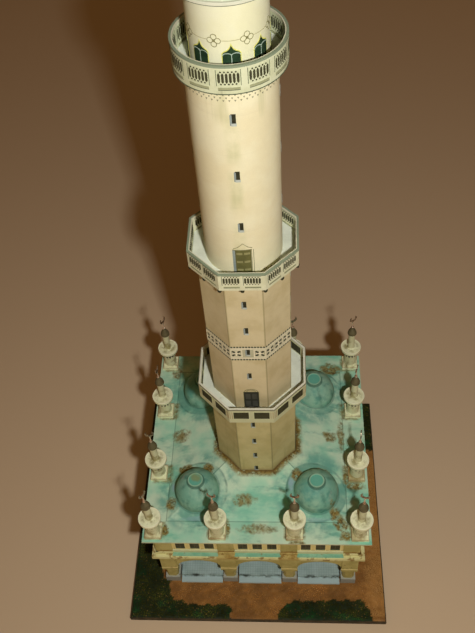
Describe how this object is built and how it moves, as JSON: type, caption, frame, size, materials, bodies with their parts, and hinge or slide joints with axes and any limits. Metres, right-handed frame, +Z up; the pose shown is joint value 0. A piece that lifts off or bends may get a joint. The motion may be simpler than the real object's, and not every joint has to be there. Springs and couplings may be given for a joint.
{
  "type": "card model of a minaret",
  "caption": "Scale model of a minaret: arcaded square base with corner domes and turrets, tiered shaft with ringed galleries and a bell-shaped cap, on a thin display board.",
  "frame": {"origin": "on the tower's axis, at the underside of the display board", "axes": "+Z up along the tower, -Y towards the front shown in the picture, +X to the front's right"},
  "size_m": [0.1379, 0.1372, 0.3962],
  "materials": {
    "board": "thin board coated with dark green flock and brown grit, cut edges bare",
    "floor": "grey-blue printed slab joints, matt",
    "walls": "printed ochre stone wash on card, matt",
    "trim": "printed cream mouldings on card, matt",
    "roof": "printed weathered copper, pale green with brown stains, matt",
    "tower_low": "printed tan-ochre render with grey-green weathering, matt",
    "tower_high": "printed pale cream-yellow render, matt",
    "gallery_floor": "plain grey-white card",
    "parapet": "printed balustrade, cream with dark slots",
    "turret": "rolled card, cream with brown stains",
    "cap": "dark grey card cones with a bead and crescent of copper-gold metal",
    "finial": "dull copper-gold"
  },
  "bodies": {
    "root": {"display_board": "board", "arcade_floor": "floor", "front_wall": "walls", "right_wall": "walls", "back_wall": "walls", "left_wall": "walls", "string_course": "trim", "arcade_ceiling": "trim", "roof": "roof", "dome_front_left": "roof", "dome_front_right": "roof", "dome_back_left": "roof", "dome_back_right": "roof", "tower_shaft_lower": "tower_low", "tower_shaft_middle": "tower_low", "tower_shaft_upper": "tower_high", "lantern_drum": "tower_high", "gallery_1_floor": "gallery_floor", "gallery_2_floor": "gallery_floor", "gallery_3_floor": "gallery_floor", "gallery_1_parapet": "parapet", "gallery_2_parapet": "parapet", "gallery_3_parapet": "parapet", "cap_eave": "roof", "cap_bell": "roof", "cap_finial": "finial", "turret_01": "turret", "turret_cap_01": "cap", "turret_02": "turret", "turret_cap_02": "cap", "turret_03": "turret", "turret_cap_03": "cap", "turret_04": "turret", "turret_cap_04": "cap", "turret_05": "turret", "turret_cap_05": "cap", "turret_06": "turret", "turret_cap_06": "cap", "turret_07": "turret", "turret_cap_07": "cap", "turret_08": "turret", "turret_cap_08": "cap", "turret_09": "turret", "turret_cap_09": "cap", "turret_10": "turret", "turret_cap_10": "cap", "turret_11": "turret", "turret_cap_11": "cap", "turret_12": "turret", "turret_cap_12": "cap"}
  },
  "joints": []
}
